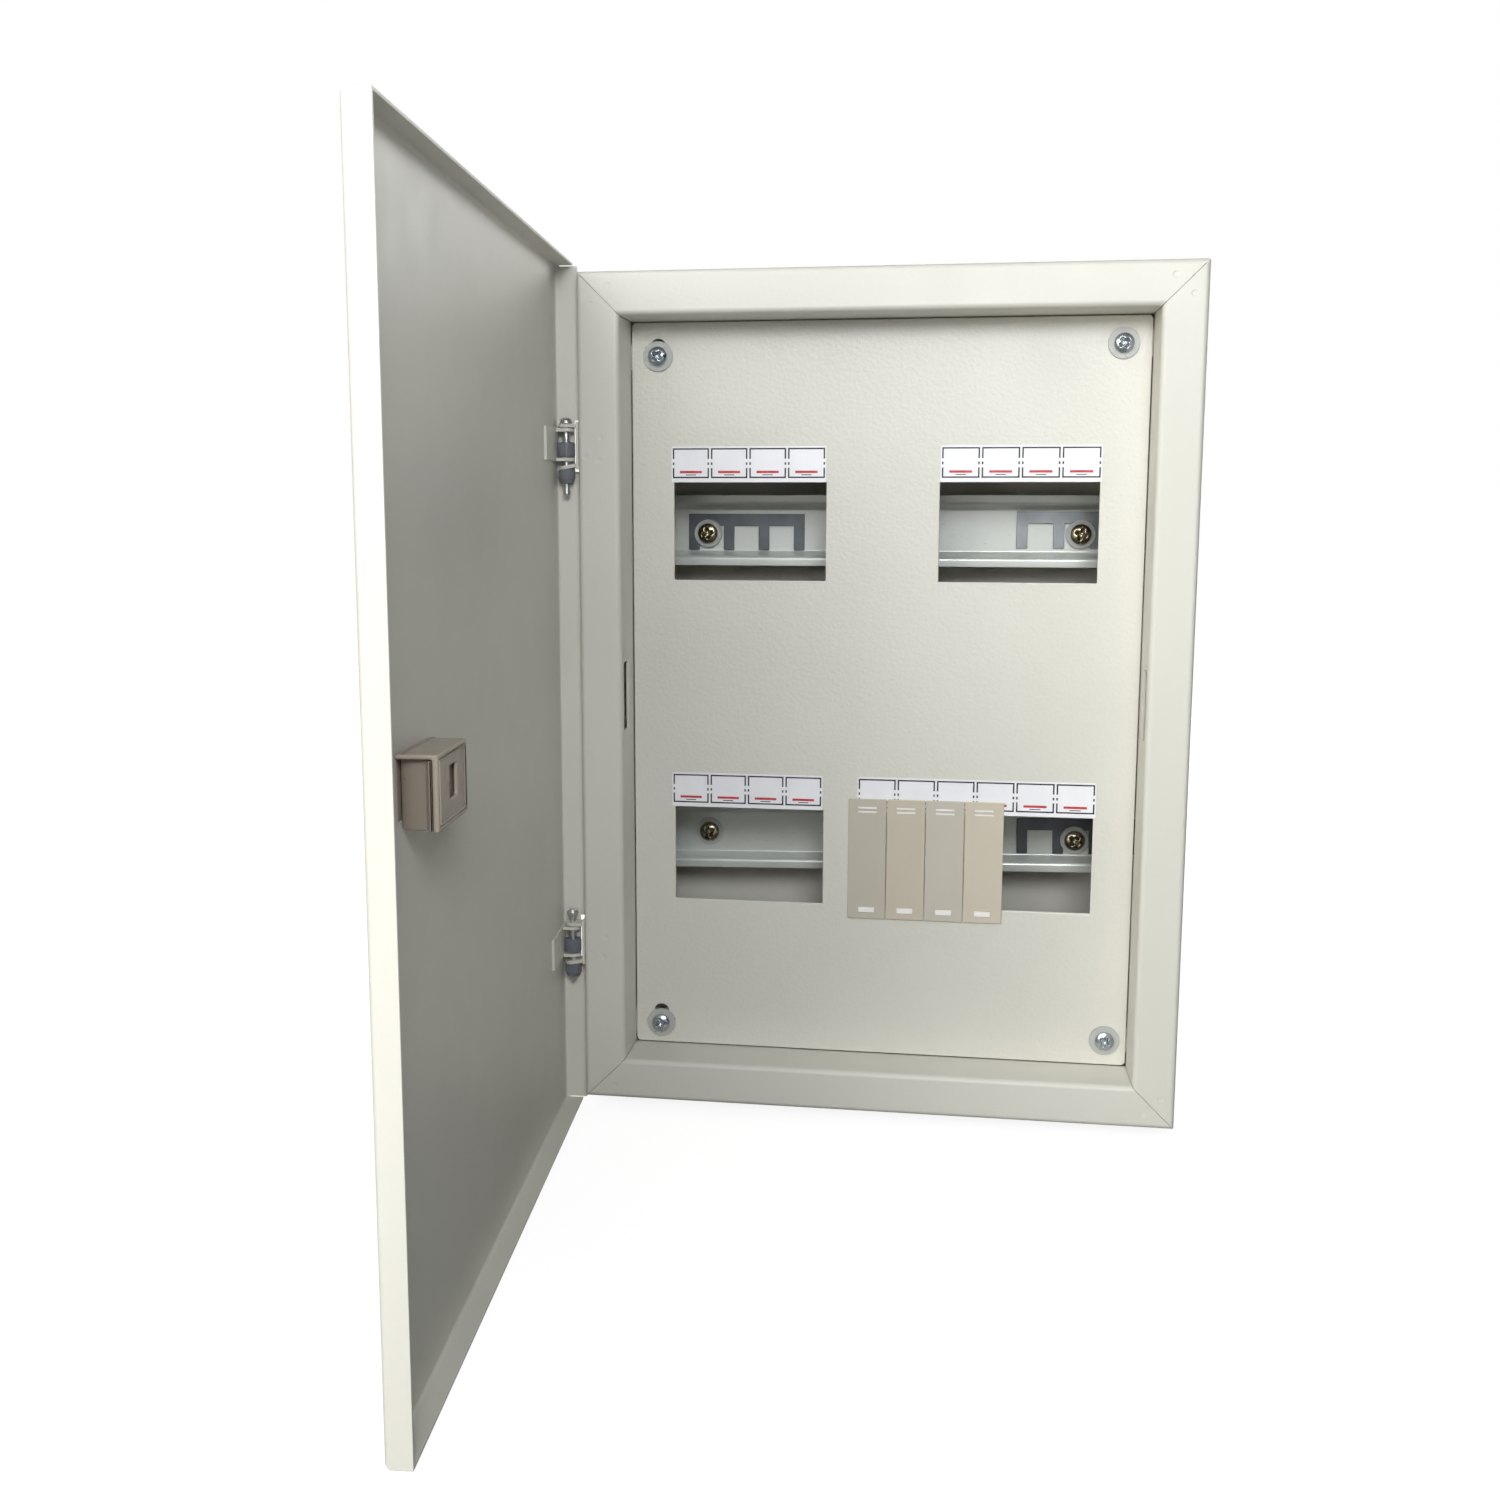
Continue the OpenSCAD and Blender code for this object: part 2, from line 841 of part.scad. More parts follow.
// Round-headed pin; lift is how far its head stands off the frame's upper lug
module hinge_pin(z, lift = 0) {
    head_z = lug_z + ear_t + lift;
    tip = lift - 23.7;
    color(zinc_col)
        translate([axis_x, axis_y - box_d, z])
            rotate_extrude()
                polygon([[0, tip], [pin_r * 0.55, tip], [pin_r, tip + 1.2], [pin_r, head_z + 0.02],
                    [2.5, head_z + 0.02], [2.75, head_z + 0.5], [2.75, head_z + 1.6],
                    [2.2, head_z + 2.6], [1.2, head_z + 3.1], [0, head_z + 3.2]]);
}

module hinge_pin_upper() {
    hinge_pin(hinge_z);
}

module hinge_pin_lower() {
    hinge_pin(-hinge_z, lower_pin_lift);
}

// Revolved collar about the pin from its outline of [radius, z] points
module pin_collar(outline) {
    rotate_extrude()
        polygon(concat([[pin_r + 0.02, outline[0][1]]], outline,
            [[pin_r + 0.02, outline[len(outline) - 1][1]]]));
}

module at_hinges() {
    for (s = [-1, 1])
        translate([axis_x, axis_y - box_d, s * hinge_z])
            children();
}

module hinge_sleeves() {
    z0 = -ear_z + 0.35;
    z1 = 1.1;
    color(dark_col) at_hinges()
        pin_collar([[3.6, z0], [3.85, z0 + 0.3], [3.85, z1 - 0.3], [3.6, z1]]);
}

// Tapered collars whose tops follow the sloping lower lugs
module hinge_collars() {
    z1 = -lug_z - lower_lug_drop - ear_t;
    color(dark_col) at_hinges()
        difference() {
            pin_collar([[3.95, z1], [3.7, z1 - 5.6], [3, z1 - 7.2], [2.6, z1 - 7.5]]);
            at_lower_lug()
                translate([-10, -10, -0.06])
                    cube([20, 20, 10]);
        }
}

// Door half: a plate on the door's inner face with two ears about the pin
module door_leaf(z) {
    q0 = axis_y + door_face_gap;
    top = ear_z + ear_t;
    color(paint_col)
        on_door()
            translate([axis_x, axis_y, z]) {
                difference() {
                    translate([-ear_root, -q0 + 0.02, -top])
                        cube([26 + ear_root, leaf_t, 2 * top]);
                    for (dx = [12, 19])
                        translate([dx, -q0 + leaf_t + 0.03, 0])
                            rotate([90, 0, 0])
                                cylinder(h = 0.3, r1 = 1.7, r2 = 0.9, $fn = 24);
                }
                for (z0 = [ear_z, -top])
                    tongue(z0, z0 + ear_t, ear_r, pin_r + run_gap)
                        translate([-ear_root, -q0 + 0.1])
                            square([ear_root + ear_r, q0 - 0.1]);
            }
}

module door_leaf_upper() {
    door_leaf(hinge_z);
}

module door_leaf_lower() {
    door_leaf(-hinge_z);
}

// ---- door ----------------------------------------------------------------

// Outline of a tray section, filled: across u, depth d, set in by t
module tray_outline(u0, u1, t) {
    r = t == 0 ? bend_r + sheet_t / 2 : bend_r - sheet_t / 2;
    d0 = door_front + t;
    d1 = t == 0 ? door_front + door_depth : door_front + door_depth + cut;
    step = 90 / bend_steps;
    polygon(concat([[u1 - t, d1], [u0 + t, d1]],
        [for (k = [0:bend_steps]) [u0 + t + r - r * cos(k * step), d0 + r - r * sin(k * step)]],
        [for (k = [0:bend_steps]) [u1 - t - r + r * sin(k * step), d0 + r - r * cos(k * step)]]));
}

module tray_solid(t) {
    door_x0 = axis_x - flange_out;
    intersection() {
        linear_extrude(2 * door_half_h - 2 * t, center = true)
            tray_outline(door_x0, door_free_x, t);
        translate([(door_x0 + door_free_x) / 2, 0, 0])
            rotate([90, 0, 90])
                linear_extrude(door_free_x - door_x0 - 2 * t, center = true)
                    rotate([0, 0, 90])
                        mirror([0, 1])
                            tray_outline(-door_half_h, door_half_h, t);
    }
}

// The hinge-side flange reaches further back, except beside the hinges
module flange_strip() {
    top = door_half_h - sheet_t - corner_slit / 2;
    below = lug_z + lower_lug_drop + ear_t + 2;
    above = lug_z + ear_t + 2;
    for (z = [[-top, -hinge_z - below], [-hinge_z + above, hinge_z - below], [hinge_z + above, top]])
        translate([axis_x - flange_out, door_front + door_depth - 0.5, z[0]])
            cube([sheet_t, flange_extra + 0.5, z[1] - z[0]]);
}

module door_panel() {
    color(paint_col)
        on_door() {
            flange_strip();
            difference() {
                tray_solid(0);
                tray_solid(sheet_t);
                for (s = [-1, 1])
                    translate([axis_x - flange_out - cut, door_front + 3.2,
                            s * (door_half_h - sheet_t) - corner_slit / 2])
                        cube([sheet_t + corner_slit + cut, door_depth, corner_slit]);
                translate([latch_x0 + 2.5, door_front - cut, latch_z - latch_w / 2 + 2.5])
                    cube([latch_x1 - latch_x0 - 5, sheet_t + 2 * cut, latch_w - 5]);
            }
        }
}

// ---- latch ---------------------------------------------------------------

// Latch coordinates: x as in the closed door, y = height above its inner face
module at_latch() {
    on_door()
        translate([0, -door_face_gap, latch_z])
            children();
}

module latch_bezel() {
    x0 = latch_x0 - 3;
    x1 = latch_x1 + 3;
    cx = (x0 + x1) / 2;
    front = -sheet_t - 0.02;
    color(latch_col)
        at_latch()
            difference() {
                union() {
                    translate([cx, 0, 0])
                        plate_y(front - 1, front)
                            rounded_rect(x1 - x0, latch_w + 6, 3);
                    translate([cx, 0, 0])
                        plate_y(front - 1.8, front - 0.9)
                            rounded_rect(x1 - x0 - 1.6, latch_w + 4.4, 2.4);
                    translate([cx, 0, 0])
                        plate_y(front - 0.1, -0.2)
                            rounded_rect(latch_x1 - latch_x0 - 5.4, latch_w - 5.4, 0.6);
                }
                translate([grip_x0 - 1.5, -10, -8])
                    cube([grip_len + latch_travel + 3, 12, 16]);
            }
}

latch_nose = 8;         // length of the nose, where the housing is open below
latch_roof = 2;
latch_play = 0.35;

// Rear housing: floor, end wall, sides and roof; the slider fills its open nose
module latch_housing() {
    w = latch_w / 2;
    len = latch_x1 - latch_x0;
    rim = 1.8;
    color(latch_col)
        at_latch()
            difference() {
                translate([latch_x0, 0.02, -w])
                    cube([len, latch_q - 0.02, 2 * w]);
                translate([latch_x0 + latch_wall, latch_wall, -w + latch_wall])
                    cube([len, latch_q - latch_wall - latch_roof, 2 * (w - latch_wall)]);
                translate([latch_x1 - latch_nose, -cut, -w - cut])
                    cube([latch_nose + cut, latch_q - latch_roof + cut, 2 * w - latch_wall + cut]);
                translate([grip_x0 - 1.5, -cut, -8])
                    cube([grip_len + latch_travel + 3, 2 * latch_wall + cut, 16]);
                translate([latch_x0 + rim, latch_q - 0.5, -w + rim])
                    cube([len - 2 * rim, cut + 0.5, 2 * (w - rim)]);
                translate([88.8, latch_q - 3, -4.4])
                    cube([9, 3 + cut, 10.4]);
                translate([latch_x0 - cut, 2.2, w - 0.5])
                    cube([len - 0.5, 0.4, 0.5 + cut]);
            }
}

module latch_slider() {
    w = latch_w / 2 - latch_wall - latch_play;
    y0 = latch_wall + latch_play;
    y1 = latch_q - latch_roof - latch_play;
    hook = slot_d0 + door_face_gap + 2.4;
    tip = latch_x1 - 0.2;
    step = 2.8;
    back = 87;
    nose = latch_nose - 1.5;
    foot = 0.4;
    color(latch_col)
        at_latch() {
            translate([0, 0, -latch_w / 2 + 0.1])
                linear_extrude(w + latch_w / 2 - 0.1)
                    polygon([[tip - nose, foot], [tip - step - 2, foot], [tip - step - 1.2, foot + 1.2],
                        [tip - step - 0.5, foot + 3], [tip - step - 0.1, foot + 4.8],
                        [tip - step, foot + 6.2], [tip - step, hook - 0.3],
                        [tip - step + 0.3, hook], [tip - 0.3, hook], [tip, hook + 0.3],
                        [tip, y1 - 0.4], [tip - 0.4, y1], [tip - nose, y1]]);
            translate([back, y0, -w])
                cube([tip - nose - back + 0.1, y1 - y0, 2 * w]);
            translate([grip_x0 + 1.2, -sheet_t - 3.6, -7.4])
                cube([grip_len - 1.2, sheet_t + 3.6 + y0 + 0.5, 14.8]);
            for (i = [0:2])
                translate([grip_x0 + 2 + i * 2.2, -sheet_t - 4.3, -7.4])
                    cube([1.2, 0.9, 14.8]);
        }
}

// Zigzag leaf spring between the housing's end wall and the slider
module latch_spring() {
    x0 = latch_x0 + latch_wall + 0.25;
    x1 = 86.7;
    y = latch_q / 2;
    pitch = (x1 - x0 - 0.5) / 4;
    color(zinc_col)
        at_latch()
            translate([0, 0, -4])
                linear_extrude(8)
                    bent([[x0 + 0.3, y - 4], [x0 + 0.3, y + 4], [x0 + 0.3 + pitch, y - 4],
                        [x0 + 0.3 + 2 * pitch, y + 4], [x0 + 0.3 + 3 * pitch, y - 4],
                        [x1 - 0.3, y + 4], [x1 - 0.3, y - 4]], 0.4, 0.3);
}

// ---- assembly ------------------------------------------------------------

body_shell();
top_plate();
bottom_plate();
frame_top();
frame_bottom();
frame_left();
frame_right();
corner_gussets();
cover_lugs();
cover_plate();
cover_screws();
cover_washers();
din_rail_top();
din_rail_bottom();
rail_brackets();
rail_screws();
rail_washers();
busbar_top_left();
busbar_top_right();
busbar_bottom_right();
blank_plate_1();
blank_plate_2();
blank_plate_3();
blank_plate_4();
label_strip_1();
label_strip_2();
label_strip_3();
label_strip_4();
neutral_bar();
neutral_stands();
neutral_screws();
earth_bar();
earth_posts();
earth_screws();
hinge_leaf_upper();
hinge_leaf_lower();
hinge_pin_upper();
hinge_pin_lower();
hinge_sleeves();
hinge_collars();
door_panel();
door_leaf_upper();
door_leaf_lower();
latch_bezel();
latch_housing();
latch_slider();
latch_spring();
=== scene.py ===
"""Looks for the breaker panel box: materials, printed and turned details, light and camera."""
import json
import math

import bmesh
import bpy
from mathutils import Euler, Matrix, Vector

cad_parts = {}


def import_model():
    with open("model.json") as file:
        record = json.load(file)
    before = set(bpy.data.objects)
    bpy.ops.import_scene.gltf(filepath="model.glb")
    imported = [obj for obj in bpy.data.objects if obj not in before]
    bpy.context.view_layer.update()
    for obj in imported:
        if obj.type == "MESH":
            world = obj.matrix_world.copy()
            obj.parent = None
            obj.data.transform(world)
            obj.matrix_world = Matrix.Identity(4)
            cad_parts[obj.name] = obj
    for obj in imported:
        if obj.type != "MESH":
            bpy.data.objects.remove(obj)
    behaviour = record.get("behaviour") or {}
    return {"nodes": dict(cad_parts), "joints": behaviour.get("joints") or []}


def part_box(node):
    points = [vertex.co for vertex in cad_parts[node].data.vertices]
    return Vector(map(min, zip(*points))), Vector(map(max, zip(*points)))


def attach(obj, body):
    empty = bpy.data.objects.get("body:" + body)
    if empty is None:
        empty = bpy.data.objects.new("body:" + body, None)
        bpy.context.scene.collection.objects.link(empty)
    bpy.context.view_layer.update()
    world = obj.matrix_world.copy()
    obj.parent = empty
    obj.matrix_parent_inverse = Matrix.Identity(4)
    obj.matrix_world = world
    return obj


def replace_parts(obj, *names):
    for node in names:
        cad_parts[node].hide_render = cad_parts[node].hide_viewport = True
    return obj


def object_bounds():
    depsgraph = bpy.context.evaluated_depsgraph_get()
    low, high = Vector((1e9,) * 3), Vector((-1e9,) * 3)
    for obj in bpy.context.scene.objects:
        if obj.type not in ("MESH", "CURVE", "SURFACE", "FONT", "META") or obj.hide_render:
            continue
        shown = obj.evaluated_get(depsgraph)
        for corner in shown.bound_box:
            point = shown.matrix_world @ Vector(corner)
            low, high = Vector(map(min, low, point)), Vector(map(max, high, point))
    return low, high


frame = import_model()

cad_lo, cad_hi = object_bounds()
NODES = frame["nodes"]
MM = 0.001
SAME_POINT = 2e-6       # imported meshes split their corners; points this close are one

for start_up in ("Cube", "Light", "Camera"):
    if start_up in bpy.data.objects:
        bpy.data.objects.remove(bpy.data.objects[start_up])


# ---- material helpers -------------------------------------------------------

def srgb(r, g, b):
    """Linear colour from 8-bit sRGB values."""
    def one(v):
        v /= 255
        return v / 12.92 if v <= 0.04045 else ((v + 0.055) / 1.055) ** 2.4
    return (one(r), one(g), one(b), 1.0)


def scaled(colour, k):
    return (min(1, colour[0] * k), min(1, colour[1] * k), min(1, colour[2] * k), 1.0)


class Finish:
    """One Principled material and the node helpers that fill it in."""

    EDGE_FROM, EDGE_TO = 0.98, 0.75     # cosines between the rounded and the true normal

    def __init__(self, name, **sockets):
        self.mat = bpy.data.materials.new(name)
        self.mat.use_nodes = True
        self.tree = self.mat.node_tree
        self.bsdf = self.tree.nodes["Principled BSDF"]
        self.place = self.tree.nodes.new("ShaderNodeTexCoord").outputs["Object"]
        for key, value in sockets.items():
            self.bsdf.inputs[key.replace("_", " ")].default_value = value

    def node(self, kind, inputs=(), **props):
        """A shader node; each input takes a value or another node's socket."""
        made = self.tree.nodes.new("ShaderNode" + kind)
        for key, value in props.items():
            setattr(made, key, value)
        for key, value in dict(inputs).items():
            if isinstance(value, bpy.types.NodeSocket):
                self.tree.links.new(value, made.inputs[key])
            else:
                made.inputs[key].default_value = value
        return made

    def stretched(self, scale):
        return self.node("Mapping", {"Vector": self.place, "Scale": scale}).outputs[0]

    def noise(self, scale, detail=2.0, rough=0.5, at=None):
        return self.node("TexNoise", {"Vector": at or self.place, "Scale": scale, "Detail": detail,
                                      "Roughness": rough}).outputs["Fac"]

    def cells(self, scale):
        return self.node("TexVoronoi", {"Vector": self.place, "Scale": scale}).outputs["Distance"]

    def spread(self, value, lo, hi, to_lo=0.0, to_hi=1.0):
        return self.node("MapRange", {"Value": value, "From Min": lo, "From Max": hi, "To Min": to_lo,
                                      "To Max": to_hi}).outputs[0]

    def blend(self, fac, a, b):
        """Colour a where fac is 0 and colour b where it is 1, on the Mix node's colour sockets."""
        return self.node("Mix", {0: fac, 6: a, 7: b}, data_type="RGBA").outputs[2]

    def maths(self, operation, a, b):
        return self.node("Math", {0: a, 1: b}, operation=operation).outputs[0]

    def edges(self, radius):
        """1 on convex and concave edges, 0 on flats."""
        soft = self.node("Bevel", {"Radius": radius}, samples=4).outputs[0]
        true = self.node("NewGeometry").outputs["Normal"]
        facing = self.node("VectorMath", {0: soft, 1: true}, operation="DOT_PRODUCT").outputs["Value"]
        return self.spread(facing, self.EDGE_FROM, self.EDGE_TO)

    def painted_edge_light(self, base, radius, share, colour):
        """The base colour, turned towards another one by a share along the edges: painted light or shade
        there, a lighter colour painting a highlight and a darker one a shaded rim.
        """
        return self.blend(self.maths("MULTIPLY", self.edges(radius), share), base, colour)

    def bump(self, height, strength, distance, under=None):
        inputs = {"Height": height, "Strength": strength, "Distance": distance}
        if under:
            inputs["Normal"] = under
        return self.node("Bump", inputs).outputs[0]

    def set(self, **links):
        for key, value in links.items():
            self.tree.links.new(value, self.bsdf.inputs[key.replace("_", " ")])
        return self.mat


def powder_coat(name, colour, rough=0.44, peel=0.16):
    """Satin powder coat: orange peel, faint mottling and edges painted lighter, a painted highlight where
    they catch the light.
    """
    f = Finish(name, Specular_IOR_Level=0.5)
    cloud = f.spread(f.noise(9, 3), 0.3, 0.7)
    base = f.blend(cloud, scaled(colour, 0.965), scaled(colour, 1.03))
    speck = f.spread(f.noise(1500, 1), 0.62, 0.8)
    base = f.blend(f.maths("MULTIPLY", speck, 0.16), base, scaled(colour, 0.72))
    # edges painted lighter: a painted highlight where they catch the light
    base = f.painted_edge_light(base, 0.7 * MM, 0.45, scaled(colour, 1.25))
    normal = f.bump(f.noise(22, 1.5), 0.10, 2.2 * MM)
    normal = f.bump(f.noise(560, 2.4), peel, 0.7 * MM, normal)
    gloss = f.spread(f.noise(60, 3), 0.25, 0.75, rough - 0.06, rough + 0.07)
    return f.set(Base_Color=base, Roughness=gloss, Normal=normal)


def plated_steel(name, colour, rough, tint):
    """Bright plated steel that drifts towards a tint, with fine scratches and dull patches."""
    f = Finish(name, Metallic=1.0)
    base = f.blend(f.spread(f.noise(130), 0.3, 0.7), colour, tint)
    fine = f.noise(2200, 3, 0.6)
    dull = f.spread(f.noise(420, 3), 0.3, 0.75, rough - 0.06, rough + 0.12)
    return f.set(Base_Color=base, Roughness=dull, Normal=f.bump(fine, 0.12, 0.1 * MM))


EDGE_HIGHLIGHT = (0.3, 1.45)    # share and brightness of a painted highlight along the edges
RIM_SHADE = (0.9, 0.35)    # the same, for a painted shade along the rim of clear plastic


def moulded(name, colour, rough=0.42, grain=900, depth=0.10, drift=0.06, edge=EDGE_HIGHLIGHT, **sockets):
    """Moulded plastic with a fine spark texture, flow marks and edges painted lighter as a highlight or
    darker as a shaded rim.
    """
    f = Finish(name, **sockets)
    cloud = f.spread(f.noise(45, 3), 0.3, 0.7)
    base = f.blend(cloud, scaled(colour, 1 - drift), scaled(colour, 1 + drift))
    share, brightness = edge
    # edges painted lighter as a highlight, or darker as a painted shaded rim on clear plastic
    base = f.painted_edge_light(base, 0.5 * MM, share, scaled(colour, brightness))
    gloss = f.spread(f.noise(200), 0.3, 0.7, rough - 0.07, rough + 0.08)
    return f.set(Base_Color=base, Roughness=gloss, Normal=f.bump(f.noise(grain), depth, 0.2 * MM))


def vinyl(name, colour):
    """Glossy self-adhesive vinyl with slight waves and trapped air."""
    f = Finish(name, Coat_Weight=0.35, Coat_Roughness=0.12)
    base = f.blend(f.spread(f.noise(90), 0.3, 0.7), scaled(colour, 0.975), scaled(colour, 1.02))
    air = f.spread(f.cells(520), 0.0, 0.25)
    patch = f.spread(f.noise(34, 1), 0.52, 0.66)
    lift = f.maths("MULTIPLY", f.maths("SUBTRACT", 1.0, air), patch)
    normal = f.bump(f.noise(110), 0.16, 0.9 * MM)
    normal = f.bump(lift, 0.2, 0.2 * MM, normal)
    return f.set(Base_Color=base, Roughness=f.spread(f.noise(140), 0.3, 0.7, 0.28, 0.42), Normal=normal)


def satin_plate(name, colour):
    """Satin electroplate over roll-formed strip: bright, with faint lines along the strip."""
    f = Finish(name, Metallic=0.25, Specular_IOR_Level=0.7)
    rolled = f.noise(240, 3, 0.55, f.stretched((1, 14, 14)))
    base = f.blend(f.spread(f.noise(40), 0.3, 0.7), scaled(colour, 0.95), scaled(colour, 1.03))
    # edges painted lighter: a painted highlight along the strip's edges and bends
    base = f.painted_edge_light(base, 0.5 * MM, 0.5, scaled(colour, 1.3))
    gloss = f.spread(rolled, 0.2, 0.8, 0.25, 0.38)
    return f.set(Base_Color=base, Roughness=gloss, Normal=f.bump(rolled, 0.05, 0.1 * MM))


def tinned(name, colour):
    """Rolled, tinned bar stock: dull, drawn along its length."""
    f = Finish(name, Metallic=1.0)
    drawn = f.noise(260, 4, 0.6, f.stretched((1, 18, 18)))
    base = f.blend(f.spread(f.noise(85), 0.3, 0.7), scaled(colour, 0.82), scaled(colour, 1.12))
    # edges painted much lighter: a painted highlight along the bar's edges
    base = f.painted_edge_light(base, 0.4 * MM, 0.6, scaled(colour, 1.7))
    gloss = f.spread(drawn, 0.2, 0.8, 0.30, 0.50)
    return f.set(Base_Color=base, Roughness=gloss, Normal=f.bump(drawn, 0.12, 0.12 * MM))


def ink(name, colour):
    """Printed ink, a little uneven in tone and gloss."""
    f = Finish(name)
    base = f.blend(f.spread(f.noise(700), 0.35, 0.65), scaled(colour, 0.8), scaled(colour, 1.25))
    return f.set(Base_Color=base, Roughness=f.spread(f.noise(500), 0.3, 0.7, 0.35, 0.5))


PAINT = srgb(221, 219, 210)
FINISHES = {
    "box_paint": powder_coat("box_paint_coat", scaled(PAINT, 0.97), 0.46),
    "frame_paint": powder_coat("frame_paint_coat", PAINT, 0.42, 0.10),
    "cover_paint": powder_coat("cover_paint_coat", PAINT, 0.38, 0.30),
    "door_paint": powder_coat("door_paint_coat", scaled(PAINT, 0.98), 0.44, 0.08),
    "rail_paint": satin_plate("rail_satin_plate", srgb(219, 223, 218)),
    "hinge_steel": powder_coat("hinge_leaf_coat", scaled(PAINT, 0.96), 0.46, 0.06),
    "zinc_steel": plated_steel("zinc_plated_steel", srgb(196, 203, 210), 0.20, srgb(178, 186, 196)),
    "passivated_steel": plated_steel("yellow_passivated_steel", srgb(196, 184, 152), 0.20,
                                     srgb(172, 166, 150)),
    "clear_plastic": moulded("clear_washer_plastic", srgb(214, 217, 214), 0.34, 700, 0.03, 0.02, RIM_SHADE,
                             Transmission_Weight=0.30, IOR=1.4),
    "tinned_copper": tinned("tinned_copper_bar", srgb(98, 102, 106)),
    "blank_plastic": moulded("blank_plate_plastic", srgb(198, 191, 177), 0.46, 1100, 0.08, 0.02),
    "label_vinyl": vinyl("label_white_vinyl", srgb(247, 247, 252)),
    "brass": tinned("terminal_brass", srgb(214, 180, 104)),
    "insulator": moulded("insulator_plastic", srgb(150, 152, 150), 0.4),
    "dark_plastic": moulded("hinge_dark_plastic", srgb(113, 117, 124), 0.36, 900, 0.08, 0.08),
    "latch_plastic": moulded("latch_grey_plastic", srgb(180, 168, 154), 0.38, 1200, 0.06, 0.03),
}

# Nodes that differ from the rest of their slot, such as a slider darker than its housing
OWN_FINISH = {
    "latch_slider": moulded("slider_grey_plastic", srgb(150, 138, 127), 0.34, 1200, 0.06, 0.04),
    # the same tinned copper as the other bars, painted lighter: a painted reflection of the light in its
    # window
    "busbar_top_right": tinned("tinned_copper_painted_reflection_bar", srgb(131, 134, 137)),
    "hinge_pin_upper": plated_steel("pin_plated_steel", srgb(226, 229, 230), 0.30, srgb(206, 210, 212)),
}
OWN_FINISH["hinge_pin_lower"] = OWN_FINISH["hinge_pin_upper"]

# The blanks differ slightly in tone
BLANKS = range(1, 5)
BLANK_TONES = (srgb(194, 188, 174), srgb(202, 193, 176), srgb(199, 193, 181), srgb(208, 199, 182))
for number, tone in zip(BLANKS, BLANK_TONES):
    OWN_FINISH[f"blank_plate_{number}"] = moulded(f"blank_plastic_{number}", tone, 0.46, 1100, 0.08, 0.02)


# ---- carried-over CAD nodes -------------------------------------------------

def smoothing_group():
    """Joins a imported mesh's split corners and shades it smooth, without touching its data."""
    tree = bpy.data.node_groups.new("join_and_smooth", "GeometryNodeTree")
    tree.interface.new_socket("Geometry", in_out="INPUT", socket_type="NodeSocketGeometry")
    tree.interface.new_socket("Geometry", in_out="OUTPUT", socket_type="NodeSocketGeometry")
    chain = [tree.nodes.new(kind) for kind in
             ("NodeGroupInput", "GeometryNodeRemoveAttribute", "GeometryNodeMergeByDistance",
              "GeometryNodeSetShadeSmooth", "NodeGroupOutput")]
    chain[1].inputs["Name"].default_value = "custom_normal"
    chain[2].inputs["Distance"].default_value = SAME_POINT
    for a, b in zip(chain, chain[1:]):
        tree.links.new(a.outputs[0], b.inputs[0])
    return tree


JOIN = smoothing_group()


def soften(obj, width, dissolve):
    """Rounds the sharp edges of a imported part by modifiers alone, first joining flat facets if asked."""
    joined = obj.modifiers.new("join", "NODES")
    joined.node_group = JOIN
    if dissolve:
        flat = obj.modifiers.new("flat", "DECIMATE")
        flat.decimate_type = "DISSOLVE"
        flat.angle_limit = math.radians(0.4)
    bevel = obj.modifiers.new("soft_edges", "BEVEL")
    bevel.width = width * MM
    bevel.segments = 2
    bevel.limit_method = "ANGLE"
    bevel.angle_limit = math.radians(32)
    bevel.use_clamp_overlap = False
    bevel.miter_outer = "MITER_ARC"
    normals = obj.modifiers.new("flat_normals", "WEIGHTED_NORMAL")
    normals.keep_sharp = False


# Edge width in mm, by the start of the node's name; other nodes keep their own edges
SOFT_EDGES = {
    "cover_plate": 0.35, "cover_washers": 0.15, "frame_": 0.2, "door_panel": 0.3, "door_leaf": 0.07,
    "body_shell": 0.2, "top_plate": 0.15, "bottom_plate": 0.15, "din_rail": 0.15, "rail_washers": 0.15,
    "busbar": 0.15, "latch_housing": 0.7, "latch_slider": 0.45, "latch_bezel": 0.3, "blank_plate": 0.08,
}
FACETS_KEPT = ("blank_plate", "cover_washers")      # joining their flat facets would spoil the shading

for name, node in NODES.items():
    slot = node.material_slots[0].material.name.split(".")[0]
    node.material_slots[0].material = OWN_FINISH.get(name, FINISHES[slot])
    for start, width in SOFT_EDGES.items():
        if name.startswith(start):
            soften(node, width, dissolve=not name.startswith(FACETS_KEPT))


# ---- piece helpers ----------------------------------------------------------

def finished(name, bm, material, body):
    """A new piece from a bmesh, riding on a body."""
    mesh = bpy.data.meshes.new(name)
    bmesh.ops.recalc_face_normals(bm, faces=bm.faces)
    bm.to_mesh(mesh)
    bm.free()
    mesh.materials.append(material)
    obj = bpy.data.objects.new(name, mesh)
    bpy.context.scene.collection.objects.link(obj)
    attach(obj, body)
    return obj


def block(bm, lo, hi):
    """A box between two corners."""
    made = bmesh.ops.create_cube(bm, size=1.0)["verts"]
    size = Vector(hi) - Vector(lo)
    mid = (Vector(hi) + Vector(lo)) / 2
    for v in made:
        v.co = Vector((v.co.x * size.x, v.co.y * size.y, v.co.z * size.z)) + mid


# ---- circuit labels: printed boxes -------------------------------------------

BLACK_INK = ink("label_black_ink", srgb(22, 23, 27))
RED_INK = ink("label_red_ink", srgb(196, 52, 62))
INK_T = 0.012 * MM
INK_LIFT = 0.002 * MM       # keeps the ink's back off the vinyl
STRIP_EDGE = 0.1 * MM
BOX_GAP = 0.95 * MM
BOX_TALL = 13.9 * MM
BOX_LINE = 0.68 * MM
BOX_DROP = 0.8 * MM
SIDE_DASHES = ((0.0, 0.36), (0.47, 0.56), (0.66, 1.0))      # shares of the box's height, from its top


